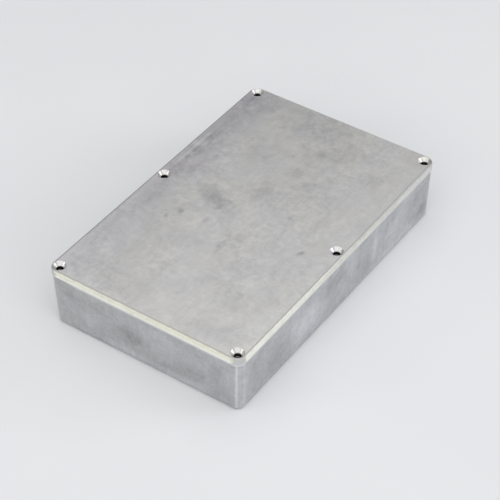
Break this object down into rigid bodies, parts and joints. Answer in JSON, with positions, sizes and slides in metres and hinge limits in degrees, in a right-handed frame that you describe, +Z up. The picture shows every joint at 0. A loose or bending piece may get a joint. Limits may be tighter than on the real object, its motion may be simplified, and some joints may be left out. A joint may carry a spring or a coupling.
{
  "type": "die cast aluminium box",
  "caption": "Plain rectangular die-cast aluminium enclosure: a drafted open tray with screw posts and a flat lift-off lid with countersunk screw holes.",
  "frame": {"origin": "centre of the base, on the surface the box stands on", "axes": "+X along the length, +Y along the width, +Z up out of the lid"},
  "size_m": [0.188, 0.12, 0.0376],
  "materials": {
    "cast_body": "as-cast, tumbled satin with faint cloudy mottling",
    "cast_lid": "as-cast satin plate with cloudy stains and a brighter trimmed edge"
  },
  "bodies": {
    "body": {"body": "cast_body"},
    "lid": {"lid": "cast_lid"}
  },
  "joints": [
    {"name": "lid_lift", "type": "slide", "parent": "body", "child": "lid", "axis": [0, 0, 1], "range_m": [0, 0.08]}
  ]
}
